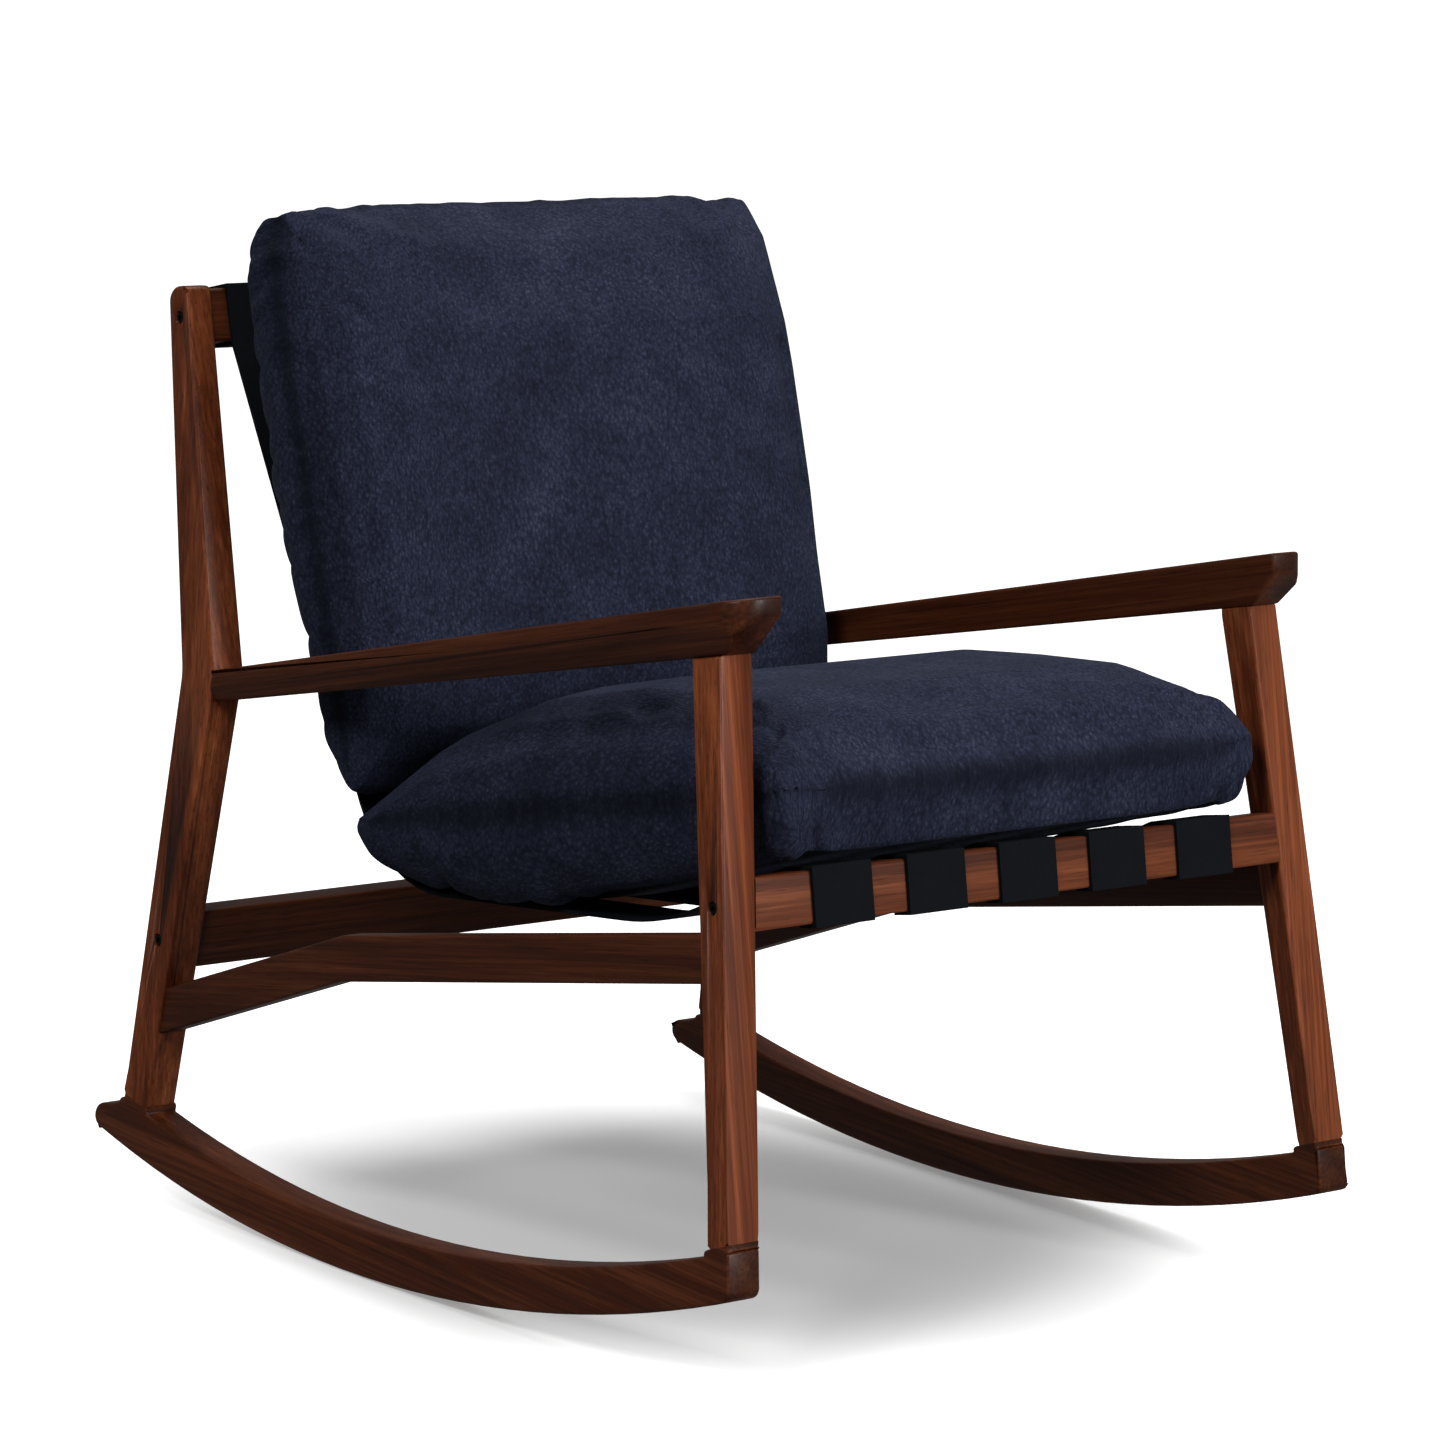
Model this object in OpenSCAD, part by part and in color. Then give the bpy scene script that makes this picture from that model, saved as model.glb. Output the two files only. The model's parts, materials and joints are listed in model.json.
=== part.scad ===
// Rocking chair: two leaning side frames on rockers, three cross rails, a sling of
// five webbing straps, and two loose knife-edge cushions.
// X is the width, the chair faces -Y, +Z is up. Sizes are in millimetres.

/* [Side frames] */
// Outer face of a side frame from the centre line, at the floor
half_width = 350; // [300:1:420]
// Degrees that each side frame leans inwards
lean_in = 4.66; // [2:0.1:6]
// Thickness of the side frame timbers across the chair
side_thick = 33.6; // [28:0.1:40.4]

/* [Rockers] */
// Radius of the rocker's curved underside
rocker_radius = 1298; // [1080:1:1560]
// Depth of a rocker between its two curved faces
rocker_depth = 37; // [30:1:45]
// Height of the pads that the legs stand on
rocker_pad = 5; // [3:0.5:7]
// Centre of the rocker's curve along the chair
rocker_centre = -30; // [-60:1:0]
// Centre of the rounded rocker tail behind the chair's middle
rocker_tail = 413.5; // [400:0.5:430]
// Degrees that the empty chair leans back at rest, over its floor contact
rest_lean = 5.1; // [0:0.1:8]

/* [Front legs] */
// Front face of the leg at the floor line
leg_front = -377.2; // [-400:0.1:-340]
// Degrees that the front leg rakes
leg_rake = 5.9; // [2:0.1:8]
// Depth of the leg at its foot
leg_foot_depth = 22.3; // [18:0.1:27]
// Depth of the leg under the armrest
leg_head_depth = 33.5; // [28:0.1:40.2]

/* [Rear posts] */
// Rear edge of the post at the knee
knee_rear = 336.7; // [310:0.1:360]
// Height of the knee
knee_height = 467; // [440:1:500]
// Depth of the post at the knee
knee_depth = 42; // [35:0.1:50.4]
// Depth of the post at its foot
post_foot_depth = 29.6; // [25:0.1:35.5]
// Depth of the post at its top
post_head_depth = 25.5; // [22:0.1:30.6]
// Degrees that the lower half runs back to the rocker
post_splay = 7.65; // [5:0.05:10]
// Degrees that the upper half reclines
post_recline = 8.1; // [6:0.05:12]
// Height of the post's top
post_height = 785; // [655:1:940]
// Thickness of the post across the chair at its top
post_head_thick = 25.4; // [21:0.1:30.5]

/* [Armrests] */
// Height of the armrest's top at the leg's front face
arm_height = 569.4; // [540:0.1:600]
// Degrees that the armrest falls towards the back
arm_fall = 8.97; // [5:0.01:11]
// Thickness of the armrest over the leg
arm_front_thick = 41; // [34:0.5:49]
// Thickness of the armrest at the post
arm_rear_thick = 26.5; // [22:0.5:32]
// Width that the paddle adds outside the frame at its front
arm_flare = 13; // [6:1:20]
// Height of the upright band above the undercut
arm_band = 15; // [10:1:18]
// Length of the armrest in front of the leg
arm_overhang = 30; // [20:1:40]
// Radius of the paddle's outer front corner
arm_corner = 27; // [15:1:34]

/* [Side stretchers] */
// Height of the stretcher
stretcher_height = 37.6; // [31:0.1:45]
// Thickness of the stretcher
stretcher_thick = 24; // [18:0.5:29]
// Distance of its outer face inside the frame's outer face
stretcher_inset = 4; // [1:0.5:5]
// Height of its middle line at the front leg
stretcher_front = 298.3; // [285:0.1:305]
// Distance of its bend behind the chair's middle
stretcher_bend = 114; // [60:1:160]
// Height of its middle line at the bend
stretcher_bend_height = 252.6; // [235:0.1:265]
// Height of its middle line at the post
stretcher_rear = 185; // [160:1:205]

/* [Cross rails] */
// Thickness of the front rail
front_rail_thick = 25; // [18:0.5:27]
// Height of the front rail
front_rail_height = 41; // [34:0.5:49]
// Height of the front rail's middle
front_rail_middle = 338.5; // [330:0.5:360]
// Thickness of the rear rail
rear_rail_thick = 25; // [18:0.5:30]
// Height of the rear rail
rear_rail_height = 48; // [40:0.5:57.6]
// Height of the rear rail's middle
rear_rail_middle = 243.5; // [235:0.5:250]
// Thickness of the top rail
top_rail_thick = 21; // [17:0.5:23]
// Height of the top rail
top_rail_height = 45; // [37.5:0.5:50]
// Distance from the post's top to the top rail's middle
top_rail_drop = 26; // [26:0.5:60]

/* [Sling] */
// Number of straps
strap_count = 5; // [3:1:6]
// Width of a strap
strap_width = 62; // [40:1:74]
// Distance between the middles of two straps
strap_pitch = 100; // [80:1:105]
// Thickness of the webbing
strap_thick = 3; // [2:0.1:4]
// Height of the sling's lowest stretch
sling_low = 298; // [270:1:310]
// Length of webbing folded under each rail
strap_tail = 17; // [14:0.5:18]

/* [Cushions] */
// Width of both cushions
cushion_width = 532; // [443:1:536]
// Depth of the seat cushion along its seam
seat_depth = 534; // [445:1:536]
// Height of the seat cushion above its seam
seat_crown = 91; // [75:1:109]
// Length of the back cushion along its seam
back_length = 494; // [412:1:592]
// Fullness of the back cushion in front of its seam
back_crown = 78; // [65:1:94]
// Thickness of the cushions' cloth
cover_thick = 2; // [1:0.1:3]

/* [Joinery] */
// Diameter of the dowels under the legs and armrests
dowel_d = 10; // [8:0.5:12]
// Diameter of the dowels in the rails, stretchers and armrest ends
small_dowel_d = 8; // [6:0.5:9.6]
// Depth that a dowel enters each piece
dowel_depth = 18; // [12:0.5:20]
// Diameter of the frame bolts
bolt_d = 6; // [5:0.5:7]
// Diameter of a bolt's head
bolt_head_d = 11; // [9:0.5:12]
// Diameter of a barrel nut
nut_d = 10; // [9:0.5:12]
// Gap between a fixing and its bore, on the radius
fit_gap = 0.1; // [0.05:0.05:0.3]

/* [Hidden] */

$fn = 48;
big = 2000;               // reach of the cutting blocks
big_fn = 360;             // facets on the large rocker circles
edge_round = 8;           // rounding of a rocker's toe
tail_round = 10.5;        // rounding of a rocker's tail
soft_gap = 0.3;           // gap between a cushion's cloth and its filling
rest_gap = 0.6;           // gap between a cushion and what it rests on
walnut = "#4a2314";
webbing = "#14161c";
navy = "#242a42";
steel = "#2b2b2d";

// Places along the side frame, seen from the side as [y, z].
function lean_slope() = tan(lean_in);
function leg_front_y(z) = leg_front + z * tan(leg_rake);
function arm_top_z(y) = arm_height - (y - leg_front_y(arm_height - arm_front_thick)) * tan(arm_fall);
function joint_z(y) = rocker_radius - sqrt(pow(pad_radius, 2) - pow(y - rocker_centre, 2));
pad_radius = rocker_radius - rocker_depth - rocker_pad;
arm_under_front = arm_height - arm_front_thick;
leg_top_y = leg_front_y(arm_under_front);
leg_joint_z = joint_z(leg_front_y(86));
function leg_depth(z) = leg_foot_depth
    + (leg_head_depth - leg_foot_depth) * (z - leg_joint_z) / (arm_under_front - leg_joint_z);
function leg_middle_y(z) = leg_front_y(z) + leg_depth(z) / 2;

post_foot_z = joint_z(370);
function post_rear_y(z) = knee_rear + (z < knee_height
    ? (knee_height - z) * tan(post_splay)
    : (z - knee_height) * tan(post_recline));
function post_depth(z) = z < knee_height
    ? knee_depth + (post_foot_depth - knee_depth) * (knee_height - z) / (knee_height - post_foot_z)
    : knee_depth + (post_head_depth - knee_depth) * (z - knee_height) / (post_height - knee_height);
function post_front_y(z) = post_rear_y(z) - post_depth(z);
function post_middle_y(z) = post_rear_y(z) - post_depth(z) / 2;
function arm_under_z(y) = arm_top_z(y) - arm_rear_thick
    - (arm_front_thick - arm_rear_thick) * (post_front_y(knee_height) - y) / (post_front_y(knee_height) - leg_top_y);

// Thickness of the post at a height: full below the armrest, slimmer above it.
head_lean = atan(lean_slope() - (side_thick - post_head_thick) / (post_height - knee_height));
function frame_x(z) = half_width - z * lean_slope();

// The rest pose turns the whole chair about the centre of its rockers.
function rested(p) = [
    rocker_centre + (p.x - rocker_centre) * cos(rest_lean) + (p.y - rocker_radius) * sin(rest_lean),
    rocker_radius - (p.x - rocker_centre) * sin(rest_lean) + (p.y - rocker_radius) * cos(rest_lean)
];
head_round = 12;
toe_z = rocker_radius - sqrt(pow(rocker_radius, 2) - pow(leg_front_y(45) - rocker_centre, 2));
toe = [[leg_front_y(200), 200], [leg_front_y(toe_z), toe_z], [leg_front_y(toe_z) + 100, toe_z - 25]];
toe_centre = corner_centre(toe[0], toe[1], toe[2], edge_round);
tail_z = rocker_radius - sqrt(pow(rocker_radius - tail_round, 2) - pow(rocker_tail - rocker_centre, 2));

// ---- 2D helpers -------------------------------------------------------------

function unit(v) = v / norm(v);
function wrap(a) = a > 180 ? a - 360 : a < -180 ? a + 360 : a;
function corner_centre(a, b, c, r) =
    let (u = unit(a - b), v = unit(c - b))
    b + unit(u + v) * r / sin(acos(u * v) / 2);
function corner(a, b, c, r, n) =
    r <= 0 ? [b] :
    let (
        u = unit(a - b),
        v = unit(c - b),
        half = acos(u * v) / 2,
        centre = corner_centre(a, b, c, r),
        first = b + u * r / tan(half) - centre,
        last = b + v * r / tan(half) - centre,
        start = atan2(first.y, first.x),
        sweep = wrap(atan2(last.y, last.x) - start)
    )
    [for (i = [0:n]) centre + r * [cos(start + sweep * i / n), sin(start + sweep * i / n)]];
function rounded(p, radii, n = 6) = [
    for (i = [0:len(p) - 1])
        each corner(p[(i + len(p) - 1) % len(p)], p[i], p[(i + 1) % len(p)], radii[i], n)
];
function along(p, radii, n = 8) = [
    for (i = [0:len(p) - 1])
        each (i == 0 || i == len(p) - 1 ? [p[i]] : corner(p[i - 1], p[i], p[i + 1], radii[i], n))
];
function left_of(v) = [-v.y, v.x];
function side_point(p, i, d) =
    i == 0 ? p[0] + left_of(unit(p[1] - p[0])) * d :
    i == len(p) - 1 ? p[i] + left_of(unit(p[i] - p[i - 1])) * d :
    let (
        a = left_of(unit(p[i] - p[i - 1])),
        b = left_of(unit(p[i + 1] - p[i]))
    )
    p[i] + (a + b) * d / (1 + a * b);
function band(p, thick) = concat(
    [for (i = [0:len(p) - 1]) side_point(p, i, thick / 2)],
    [for (i = [len(p) - 1:-1:0]) side_point(p, i, -thick / 2)]
);
function turned(p, angle, at) = [
    for (q = p) at + [q.x * cos(angle) - q.y * sin(angle), q.x * sin(angle) + q.y * cos(angle)]
];

module disc(r) translate([rocker_centre, rocker_radius]) circle(r = r, $fn = big_fn);

// Draws a [y, z] outline as a bar that runs across the chair.
module across(width) rotate([90, 0, 90]) translate([0, 0, -width / 2]) linear_extrude(width) children();

// ---- leaning side frames ----------------------------------------------------

// Everything outwards of a leaning plane that lies inset from the outer face.
module outwards(inset, lean = lean_in, height = 0) {
    translate([frame_x(height) - inset, 0, height])
        rotate([0, -lean, 0])
            translate([0, -big / 2, -big / 2])
                cube([big, big, 2 * big]);
}

// A timber of the +X side frame, from its [y, z] outline.
module timber(inset = 0, thick = side_thick) {
    difference() {
        intersection() {
            across(2 * half_width + 2 * big / 10) children();
            outwards(inset + thick);
        }
        outwards(inset);
    }
}

module on_side(side) {
    if (side > 0) children();
    else mirror([1, 0, 0]) children();
}

module both_sides() {
    children();
    mirror([1, 0, 0]) children();
}

module leg_outline(low, high) {
    polygon([
        [leg_front_y(low), low],
        [leg_front_y(high), high],
        [leg_front_y(high) + leg_depth(high), high],
        [leg_front_y(low) + leg_depth(low), low]
    ]);
}

module front_leg() {
    difference() {
        timber() difference() {
            intersection() {
                leg_outline(leg_joint_z - 20, arm_under_front + arm_front_thick / 2);
                disc(pad_radius);
            }
            arm_side();
        }
        leg_bores();
    }
}

function post_points(low) = rounded([
    [post_front_y(low), low],
    [post_front_y(knee_height), knee_height],
    [post_front_y(post_height), post_height],
    [post_rear_y(post_height), post_height],
    [post_rear_y(knee_height), knee_height],
    [post_rear_y(low), low]
], [0, 0, 5, head_round, 60, 0]);

module post_outline(low) polygon(post_points(low));

module rear_post() {
    difference() {
        timber() intersection() {
            post_outline(post_foot_z - 20);
            disc(pad_radius);
        }
        // slimmer above the knee, on the inside only
        difference() {
            translate([0, 0, knee_height]) cube([half_width, big, post_height]);
            outwards(side_thick, head_lean, knee_height);
        }
        post_bores();
    }
}

// ---- armrest ----------------------------------------------------------------

arm_tip = leg_top_y - arm_overhang;
arm_shoulder = 4;         // the underside runs flat this far past the leg
undercut_lean = 25;       // lean of the undercut from upright
undercut_reach = 60;      // the undercut's cutter is this much past the timber
arm_heel = post_front_y(knee_height);
ridge_drop = arm_band;
ridge_rise = (arm_top_z(arm_tip) - ridge_drop) - (arm_top_z(arm_heel) - ridge_drop);

// The armrest's side view runs back until the post's own outline cuts it.
module arm_side() {
    buried = arm_heel + post_head_depth / 2;
    difference() {
        polygon([
            [buried, arm_under_z(buried)],
            [buried, arm_top_z(buried)],
            [arm_tip, arm_top_z(arm_tip)],
            [arm_tip, arm_top_z(arm_tip) - arm_band],
            [leg_top_y - arm_shoulder, arm_under_z(leg_top_y - arm_shoulder)]
        ]);
        post_outline(post_foot_z);
    }
}

// Plan of the paddle: straight inside, flaring outside, one round corner.
module arm_plan() {
    back_x = frame_x(arm_top_z(arm_heel) - arm_band);
    front_x = frame_x(arm_top_z(arm_tip) - arm_band) + arm_flare;
    polygon(rounded([
        [0, arm_heel + 60],
        [back_x, arm_heel + 60],
        [back_x, arm_heel],
        [(back_x + front_x) / 2 + 4, (arm_heel + arm_tip) / 2 - 40],
        [front_x, arm_tip + 95],
        [front_x - 2, arm_tip],
        [0, arm_tip]
    ], [0, 0, 0, 400, 300, arm_corner, 0], 8));
}

// The undercut leans in below the ridge that runs along the outer side.
module arm_undercut() {
    run = norm([arm_heel - arm_tip, ridge_rise, arm_flare]);
    back_x = frame_x(arm_top_z(arm_heel) - arm_band);
    translate([back_x, arm_heel, arm_top_z(arm_heel) - arm_band])
        rotate([0, 0, arm_yaw])
            rotate([90 - atan2(ridge_rise, arm_heel - arm_tip), 0, 0])
                translate([0, 0, -undercut_reach])
                    linear_extrude(run + 2 * undercut_reach)
                        polygon([
                            [0, 0],
                            [undercut_reach, 0],
                            [undercut_reach, -undercut_reach],
                            [-undercut_reach * tan(undercut_lean), -undercut_reach]
                        ]);
}
arm_yaw = atan2(arm_flare - ridge_rise * lean_slope(), arm_heel - arm_tip);

module armrest() {
    difference() {
        intersection() {
            timber(-2 * arm_flare, side_thick + 2 * arm_flare) arm_side();
            linear_extrude(big) arm_plan();
        }
        arm_undercut();
        armrest_bores();
    }
}

// ---- rocker -----------------------------------------------------------------

module rocker_outline() {
    tail = [rocker_tail, tail_z];
    blank = concat(
        corner(toe[0], toe[1], toe[2], edge_round, 6),
        [[rocker_centre, -50], [rocker_tail, -50]],
        [for (a = [-60:15:90]) tail + tail_round * [cos(a), sin(a)]],
        [
            [rocker_tail - 12, tail_z + tail_round + 1.2],
            [rocker_tail - 21, tail_z + tail_round + 4],
            [post_rear_y(post_foot_z), joint_z(post_rear_y(post_foot_z)) + 1],
            [post_rear_y(post_foot_z) - 20, 200],
            [leg_front_y(200), 200]
        ]
    );
    difference() {
        intersection() {
            disc(rocker_radius);
            polygon(blank);
        }
        disc(rocker_radius - rocker_depth);
    }
    intersection() {
        difference() {
            disc(rocker_radius - rocker_depth + 1);
            disc(pad_radius);
        }
        union() {
            foot_pad(leg_front_y(leg_joint_z), leg_front_y(leg_joint_z) + leg_depth(leg_joint_z),
                     leg_joint_z, tan(leg_rake), 0, rocker_pad);
            foot_pad(post_front_y(post_foot_z), post_rear_y(post_foot_z),
                     post_foot_z, -tan(post_splay), rocker_pad / 2, 0);
        }
    }
}

// Raised pad under a foot, flared where it runs into the rocker.
module foot_pad(front, rear, z, slope, front_flare, rear_flare) {
    polygon([
        [front + 20 * slope, z + 20],
        [rear + 20 * slope, z + 20],
        [rear, z - 2],
        [rear + rear_flare, z - 2 - rocker_pad],
        [rear + rear_flare, z - 20],
        [front - front_flare - 20 * slope, z - 20],
        [front - front_flare, z - 2 - rocker_pad],
        [front, z - 2]
    ]);
}

module rocker() {
    difference() {
        timber() rocker_outline();
        rocker_dowel_set(fit_gap);
    }
}

// ---- side stretcher ---------------------------------------------------------

stretcher_line = [
    [leg_front_y(stretcher_front) + leg_depth(stretcher_front), stretcher_front],
    [stretcher_bend, stretcher_bend_height],
    [post_front_y(stretcher_rear), stretcher_rear]
];

module stretcher_outline() {
    half = stretcher_height / 2;
    reach = 12;
    ahead = unit(stretcher_line[0] - stretcher_line[1]) * reach;
    behind = unit(stretcher_line[2] - stretcher_line[1]) * reach;
    line = [stretcher_line[0] + ahead, stretcher_line[1], stretcher_line[2] + behind];
    difference() {
        polygon([
            for (p = line) p + [0, half],
            for (i = [2:-1:0]) line[i] - [0, half]
        ]);
        leg_outline(leg_joint_z, arm_under_front);
        post_outline(post_foot_z);
    }
}

module side_stretcher() {
    difference() {
        timber(stretcher_inset, stretcher_thick) stretcher_outline();
        stretcher_dowel_set(fit_gap);
    }
}

// ---- cross rails ------------------------------------------------------------

front_rail_at = [
    leg_front_y(front_rail_middle) + front_rail_thick / 2 + 0.5,
    front_rail_middle
];
rear_rail_at = [post_middle_y(rear_rail_middle), rear_rail_middle];
top_rail_z = post_height - top_rail_drop;
top_rail_at = [post_middle_y(top_rail_z), top_rail_z];
top_rail_turn = -(post_recline + 1.5);

function rail_section(at, thick, height, turn) = turned([
    [-thick / 2, -height / 2], [-thick / 2, height / 2],
    [thick / 2, height / 2], [thick / 2, -height / 2]
], turn, at);

front_section = rail_section(front_rail_at, front_rail_thick, front_rail_height, -leg_rake);
rear_section = rail_section(rear_rail_at, rear_rail_thick, rear_rail_height, post_splay);
top_section = rail_section(top_rail_at, top_rail_thick, top_rail_height, top_rail_turn);

module rail(section, lean = lean_in, height = 0) {
    difference() {
        across(2 * half_width) polygon(section);
        both_sides() outwards(side_thick, lean, height);
        rail_dowel_set(fit_gap);
        bolt_set(fit_gap);
        nut_set(fit_gap, front_rail_thick + rear_rail_thick);
        staple_set();
    }
}

// ---- sling ------------------------------------------------------------------

// Corner of a rail's section, moved out by half the webbing on both its faces.
function off_corner(section, i, turn) =
    section[i] + turned([[
        (i < 2 ? -1 : 1) * strap_thick / 2,
        (i == 1 || i == 2 ? 1 : -1) * strap_thick / 2
    ]], turn, [0, 0])[0];

top_wrap = [for (i = [0:3]) off_corner(top_section, i, top_rail_turn)];
front_wrap = [for (i = [0:3]) off_corner(front_section, i, -leg_rake)];
back_angle = 23.2;
sling_rear = [
    top_wrap[0].x - (top_wrap[0].y - sling_low) * tan(back_angle),
    sling_low
];
sling_front = [sling_rear.x - 337, sling_low + 4];

sling_path = along([
    top_wrap[3] - (top_wrap[3] - top_wrap[0]) * strap_tail / norm(top_wrap[3] - top_wrap[0]),
    top_wrap[3],
    top_wrap[2],
    top_wrap[1],
    top_wrap[0],
    sling_rear,
    sling_front,
    front_wrap[2],
    front_wrap[1],
    front_wrap[0],
    front_wrap[0] + (front_wrap[3] - front_wrap[0]) * strap_tail / norm(front_wrap[3] - front_wrap[0])
], [0, 0, 0, 0, 0, 110, 250, 0, 0, 0, 0]);

function strap_x(i) = (i - (strap_count - 1) / 2) * strap_pitch;

module strap(i) {
    difference() {
        translate([strap_x(i), 0, 0]) across(strap_width) polygon(band(sling_path, strap_thick));
        staple_set();
    }
}

// ---- cushions ---------------------------------------------------------------

seat_seam_fall = 7.5;
seat_middle = [
    front_rail_at.x - front_rail_thick / 2 - 6 + seat_depth / 2 * cos(seat_seam_fall),
    front_rail_middle + front_rail_height / 2 + 63 - seat_depth / 2 * sin(seat_seam_fall)
];
back_seam_recline = 12.7;
back_foot = seat_middle + [seat_depth / 2 * cos(seat_seam_fall) - 11, 20 - seat_depth / 2 * sin(seat_seam_fall)];
back_middle = back_foot + back_length / 2 * [sin(back_seam_recline), cos(back_seam_recline)];

// Side views about the seam: x runs along the seam, y is the fullness.
function seat_profile() = let (h = seat_depth / 2) [
    [-h, 4], [-h + 17, 43], [-h + 90, seat_crown * 0.79], [-h * 0.19, seat_crown],
    [h * 0.26, seat_crown], [h * 0.65, seat_crown * 0.74], [h, 4],
    [h, -4], [h - 30, -34], [h - 78, -52], [h * 0.42, -69], [h * 0.12, -78],
    [-h + 12, -48], [-h, -4]
];
function back_profile() = let (h = back_length / 2) [
    [-h, 3], [-h + 7, 12], [-h + 47, back_crown * 0.68], [-h + 97, back_crown * 0.95],
    [-h * 0.1, back_crown], [h * 0.5, back_crown * 0.92], [h - 40, back_crown * 0.62], [h, 8],
    [h, -8], [h - 34, -44], [h * 0.5, -58], [0, -58],
    [-h * 0.4, -43], [-h + 47, -25], [-h + 7, -8], [-h, -3]
];

// Knife-edge cushion: full in the middle, thin at the seam all round.
module pillow(profile, width, shrink = 0) {
    // [share of the half width, of the fullness above and below the seam, of the length]
    steps = [
        [1, 0.05, 0.09, 0.88], [0.965, 0.45, 0.64, 0.965], [0.89, 0.75, 0.9, 0.985],
        [0.76, 0.93, 0.98, 1], [0.55, 1, 1, 1]
    ];
    hull() for (s = steps) {
        across(2 * (width / 2 * s[0] - shrink))
            polygon([for (p = profile) let (full = p.y * (p.y > 0 ? s[1] : s[2])) [
                p.x * s[3] - sign(p.x) * shrink,
                full - sign(full) * min(shrink, abs(full) / 2)
            ]]);
    }
}

module seat_pose() translate([0, seat_middle.x, seat_middle.y]) rotate([-seat_seam_fall, 0, 0]) children();
// The back cushion's own x runs up its seam and its fullness faces forwards.
module back_pose() translate([0, back_middle.x, back_middle.y]) rotate([90 - back_seam_recline, 0, 0]) children();

// All that lies under and behind the sling, up to a gap in front of it.
module sling_side(gap) {
    first = 4;
    last = len(sling_path) - 5;
    off = -strap_thick / 2 - gap;
    polygon(concat(
        [for (i = [first:last]) side_point(sling_path, i, off)],
        [
            [sling_path[last].x, sling_low - 200],
            [sling_path[first].x + 200, sling_low - 200],
            [sling_path[first].x + 200, sling_path[first].y]
        ]
    ));
}

module seat_solid(shrink) {
    difference() {
        seat_pose() pillow(seat_profile(), cushion_width, shrink);
        across(2 * half_width) sling_side(rest_gap + shrink);
    }
}

module back_solid(shrink) {
    difference() {
        back_pose() pillow(back_profile(), cushion_width, shrink);
        across(2 * half_width) sling_side(rest_gap + shrink);
        seat_pose() pillow(seat_profile(), cushion_width, -rest_gap - shrink);
    }
}

// ---- dowels, bolts and staples ----------------------------------------------

// A pin centred on a point, turned about X and then leaned with the side frame.
module pin(at, d, length, turn = 0, lean = 0) {
    translate(at) rotate([0, -lean, 0]) rotate([turn, 0, 0]) cylinder(d = d, h = length, center = true);
}

function timber_x(z, inset = 0, thick = side_thick) = frame_x(z) - inset - thick / 2;

// Under each leg and post, along its own line.
module rocker_dowel_set(gap = 0) {
    leg_y = leg_middle_y(leg_joint_z);
    post_y = post_middle_y(post_foot_z);
    both_sides() {
        pin([timber_x(joint_z(leg_y)), leg_y, joint_z(leg_y)],
            dowel_d + 2 * gap, 2 * (dowel_depth + gap), -leg_rake, lean_in);
        pin([timber_x(joint_z(post_y)), post_y, joint_z(post_y)],
            dowel_d + 2 * gap, 2 * (dowel_depth + gap), post_splay, lean_in);
    }
}

// One between each leg and its armrest, two from each armrest into its post.
module armrest_dowel_set(gap = 0) {
    head_z = arm_under_z(leg_middle_y(arm_under_front));
    end = [
        (arm_heel + post_front_y(arm_under_z(arm_heel))) / 2,
        (arm_top_z(arm_heel) + arm_under_z(arm_heel)) / 2
    ];
    both_sides() {
        pin([timber_x(head_z), leg_middle_y(head_z), head_z],
            dowel_d + 2 * gap, 2 * (dowel_depth + gap), -leg_rake, lean_in);
        for (step = [-1, 1])
            pin([timber_x(end.y) + step * side_thick / 4, end.x, end.y],
                small_dowel_d + 2 * gap, 2 * (dowel_depth + gap), 90 - arm_fall);
    }
}

// Two at each end of each side stretcher, one above the other.
module stretcher_dowel_set(gap = 0) {
    rise = stretcher_height / 4;
    front_turn = 90 - atan2(stretcher_line[0].y - stretcher_line[1].y, stretcher_line[1].x - stretcher_line[0].x);
    rear_turn = 90 - atan2(stretcher_line[1].y - stretcher_line[2].y, stretcher_line[2].x - stretcher_line[1].x);
    both_sides() for (step = [-1, 1]) {
        pin([timber_x(stretcher_front, stretcher_inset, stretcher_thick),
             leg_front_y(stretcher_front + step * rise) + leg_depth(stretcher_front + step * rise),
             stretcher_front + step * rise],
            small_dowel_d + 2 * gap, 2 * (dowel_depth + gap), front_turn);
        pin([timber_x(stretcher_rear, stretcher_inset, stretcher_thick),
             post_front_y(stretcher_rear + step * rise),
             stretcher_rear + step * rise],
            small_dowel_d + 2 * gap, 2 * (dowel_depth + gap), rear_turn);
    }
}

// Middle, section turn, height and inner end of the three rails.
function head_x(z) = frame_x(knee_height) - side_thick - (z - knee_height) * tan(head_lean);
rail_ends = [
    [front_rail_at, -leg_rake, front_rail_height, frame_x(front_rail_middle) - side_thick],
    [rear_rail_at, post_splay, rear_rail_height, frame_x(rear_rail_middle) - side_thick],
    [top_rail_at, top_rail_turn, top_rail_height, head_x(top_rail_z)]
];

module at_rail_ends() {
    both_sides() for (e = rail_ends)
        translate([e[3], e[0].x, e[0].y]) rotate([e[1], 0, 0]) {
            $end = e;
            children();
        }
}

// Two dowels beside each bolt stop the rail from turning.
module rail_dowel_set(gap = 0) {
    at_rail_ends() for (step = [-1, 1])
        translate([0, 0, step * $end[2] * 0.3])
            rotate([0, 90, 0])
                cylinder(d = small_dowel_d + 2 * gap, h = 2 * (dowel_depth + gap), center = true);
}

bolt_reach = 34;          // length of a bolt inside the rail
head_high = 3.2;          // height of a bolt's button head
head_sink = 1;            // distance of the head below the outer face
nut_reach = 26;           // middle of the barrel nut from the rail's end
nut_long = 15;
socket_d = 4.6;

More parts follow.
